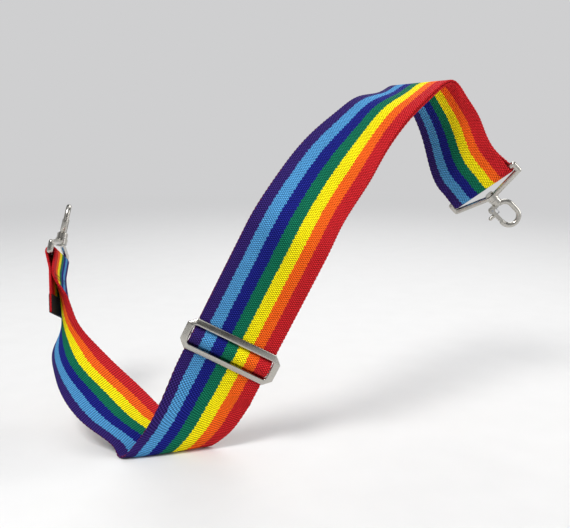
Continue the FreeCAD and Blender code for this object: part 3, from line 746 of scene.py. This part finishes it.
def seen_rays(tree):
    """1 for the rays that show the background: camera, glossy and transmission rays."""
    path = tree.nodes.new("ShaderNodeLightPath")
    value = path.outputs["Is Camera Ray"]
    for name in ("Is Glossy Ray", "Is Transmission Ray"):
        most = tree.nodes.new("ShaderNodeMath")
        most.operation = "MAXIMUM"
        tree.links.new(value, most.inputs[0])
        tree.links.new(path.outputs[name], most.inputs[1])
        value = most.outputs[0]
    return value


def ground():
    """A plain pale floor, a disc of 6 m radius, that fades into the haze as it gets far."""
    turn = np.linspace(0, 2 * math.pi, 65)[:-1]
    rim = np.stack([FLOOR_MIDDLE + FLOOR_RADIUS * np.cos(turn), FLOOR_RADIUS * np.sin(turn),
                    np.full(len(turn), GROUND)], axis=1)
    nodes = Nodes("floor")
    coordinates = nodes.add("ShaderNodeTexCoord")
    grain = nodes.noise(coordinates.outputs["Object"], 40.0, 3.0)
    nodes.link(nodes.mix(grain, (0.74, 0.73, 0.71, 1), (0.78, 0.77, 0.75, 1)),
               nodes.shader.inputs["Base Color"])
    nodes.shader.inputs["Roughness"].default_value = 0.75
    away = nodes.add("ShaderNodeVectorMath", operation="LENGTH")
    nodes.link(coordinates.outputs["Object"], away.inputs[0])
    far = nodes.add("ShaderNodeMapRange", interpolation_type="SMOOTHSTEP")
    far.inputs["From Min"].default_value = 0.25
    far.inputs["From Max"].default_value = 1.5
    nodes.link(away.outputs["Value"], far.inputs["Value"])
    haze = nodes.add("ShaderNodeEmission")
    haze.inputs["Color"].default_value = HAZE
    both = nodes.add("ShaderNodeMixShader")
    nodes.link(nodes.math("MULTIPLY", far.outputs[0], seen_rays(nodes.tree)), both.inputs[0])
    nodes.link(nodes.shader.outputs[0], both.inputs[1])
    nodes.link(haze.outputs[0], both.inputs[2])
    nodes.link(both.outputs[0], nodes.tree.nodes["Material Output"].inputs["Surface"])
    return mesh_object("floor", rim, [list(range(len(turn)))], nodes.material)


ground()


def area_light(name, place, target, size, watts):
    """A round white lamp at a place, facing a target."""
    light = bpy.data.lights.new(name, "AREA")
    light.shape = "DISK"
    light.size = size
    light.energy = watts
    lamp = bpy.data.objects.new(name, light)
    lamp.location = place
    lamp.rotation_euler = (Vector(target) - Vector(place)).to_track_quat("-Z", "Y").to_euler()
    bpy.context.scene.collection.objects.link(lamp)


middle_point = (0.15, -0.03, -0.02)
area_light("key", (-0.35, -0.6, 1.05), middle_point, 0.5, 11)
area_light("fill", (1.25, -0.1, 0.4), middle_point, 0.8, 5)
area_light("back", (0.4, 0.9, 0.8), middle_point, 0.8, 5)


def sky(tree, height, stops):
    """Colour by how high a direction points, from 0 at the horizon to 1 overhead."""
    ramp = tree.nodes.new("ShaderNodeValToRGB")
    fill_ramp(ramp.color_ramp, stops)
    tree.links.new(height, ramp.inputs[0])
    return ramp.outputs[0]


def studio_world():
    """A soft sky, bright overhead. Where it is seen, it is haze at the horizon and dim above."""
    world = bpy.data.worlds.new("studio")
    world.use_nodes = True
    tree = world.node_tree
    coordinates = tree.nodes.new("ShaderNodeTexCoord")
    split = tree.nodes.new("ShaderNodeSeparateXYZ")
    tree.links.new(coordinates.outputs["Generated"], split.inputs[0])
    lighting = sky(tree, split.outputs[2], ((0.1, (0.09, 0.09, 0.1, 1)),
                                            (0.7, (0.62, 0.64, 0.68, 1))))
    looks = sky(tree, split.outputs[2], ((0.35, HAZE), (0.4, (0.02, 0.018, 0.016, 1)),
                                         (0.74, (0.03, 0.028, 0.026, 1)),
                                         (0.9, (0.85, 0.86, 0.88, 1))))
    mix = tree.nodes.new("ShaderNodeMix")
    mix.data_type = "RGBA"
    tree.links.new(seen_rays(tree), mix.inputs[0])
    tree.links.new(lighting, mix.inputs[6])
    tree.links.new(looks, mix.inputs[7])
    tree.links.new(mix.outputs[2], tree.nodes["Background"].inputs[0])
    return world


bpy.context.scene.world = studio_world()

camera_data = bpy.data.cameras.new("camera")
camera_data.sensor_width = 36.0
camera_data.lens = 47.4
camera = bpy.data.objects.new("camera", camera_data)
camera.location = (0.1475, -0.502, 0.068)
camera.rotation_euler = (math.radians(90 - 11.1), 0, 0)
bpy.context.scene.collection.objects.link(camera)
bpy.context.scene.camera = camera
bpy.context.scene.view_settings.view_transform = "Standard"
